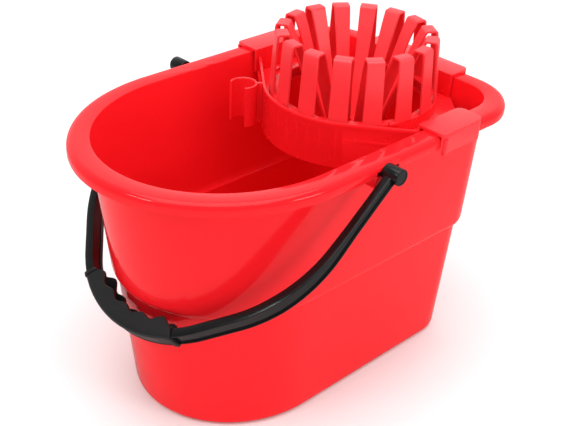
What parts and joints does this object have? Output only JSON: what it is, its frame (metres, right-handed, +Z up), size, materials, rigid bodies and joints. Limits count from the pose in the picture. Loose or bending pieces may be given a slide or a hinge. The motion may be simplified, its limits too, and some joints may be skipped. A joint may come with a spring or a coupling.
{
  "type": "mop bucket with cone wringer",
  "caption": "Oval plastic mop bucket with a round front, a lift-off cone wringer of arched strips hooked over the rim, a pole clip and a swinging bail handle.",
  "frame": {"origin": "on the underside of the base, straight below the middle of the rim and between the two handle pivots", "axes": "+X is the width, along the handle's pivots; +Y runs from the round front to the wringer end; +Z is up"},
  "size_m": [0.2898, 0.3925, 0.308],
  "materials": {
    "bucket_red": "gloss",
    "wringer_red": "satin gloss",
    "handle_black": "satin",
    "grip_black": "fine satin"
  },
  "bodies": {
    "bucket": {"tub": "bucket_red", "socket_left": "bucket_red", "socket_right": "bucket_red"},
    "handle": {"bail": "handle_black", "grip": "grip_black"},
    "wringer": {"wringer_tray": "wringer_red", "hook_left": "wringer_red", "hook_right": "wringer_red", "hook_back": "wringer_red", "pole_clip": "wringer_red", "basket_ring": "wringer_red", "basket_floor": "wringer_red", "strip_01": "wringer_red", "strip_02": "wringer_red", "strip_03": "wringer_red", "strip_04": "wringer_red", "strip_05": "wringer_red", "strip_06": "wringer_red", "strip_07": "wringer_red", "strip_08": "wringer_red", "strip_09": "wringer_red", "strip_10": "wringer_red", "strip_11": "wringer_red", "strip_12": "wringer_red", "strip_13": "wringer_red", "strip_14": "wringer_red", "strip_15": "wringer_red", "strip_16": "wringer_red"}
  },
  "joints": [
    {"name": "handle_swing", "type": "hinge", "parent": "bucket", "child": "handle", "pos_m": [0, 0, 0.2515], "axis": [-1, 0, 0], "range_deg": [0, 200]},
    {"name": "wringer_lift", "type": "slide", "parent": "bucket", "child": "wringer", "axis": [0, 0, 1], "range_m": [0, 0.12]}
  ]
}
